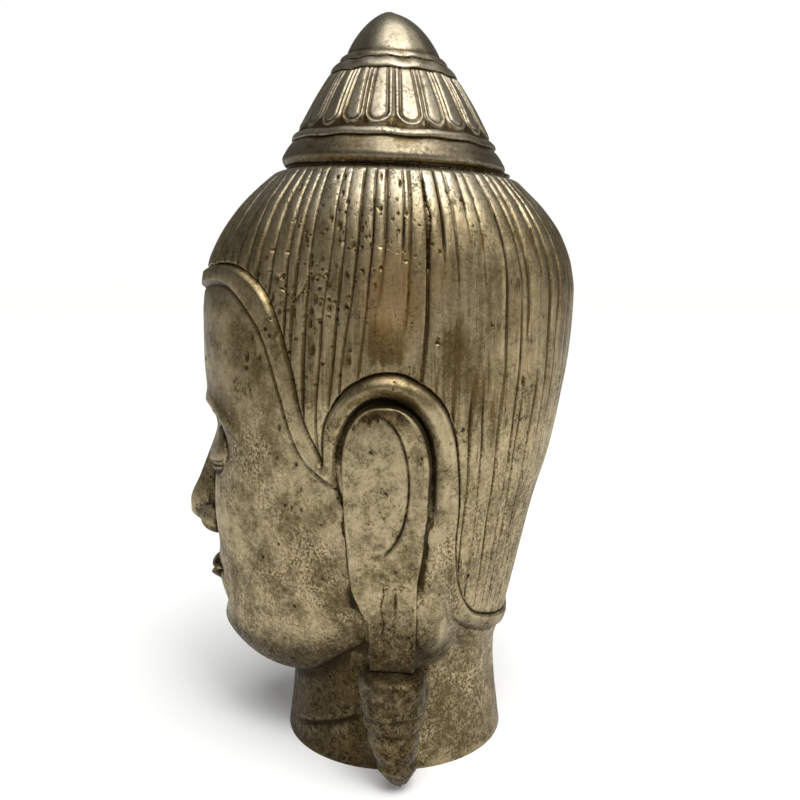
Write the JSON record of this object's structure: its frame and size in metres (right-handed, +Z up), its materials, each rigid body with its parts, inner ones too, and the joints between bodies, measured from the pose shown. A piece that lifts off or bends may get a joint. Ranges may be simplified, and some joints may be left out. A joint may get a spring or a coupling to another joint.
{
  "type": "buddha bust",
  "caption": "Cast brass buddha head on its neck, with combed hair, a lotus finial, long ears and ear pendants, cut flat below to stand.",
  "frame": {"origin": "centre of the neck's flat underside, on the surface that the bust stands on", "axes": "+Z up to the tip of the finial, -Y the way the face looks, +X towards the figure's own left ear"},
  "size_m": [0.1208, 0.1385, 0.25],
  "materials": {
    "aged_brass": "worn and darkened cast surface"
  },
  "bodies": {
    "root": {"buddha_head": "aged_brass"}
  },
  "joints": []
}
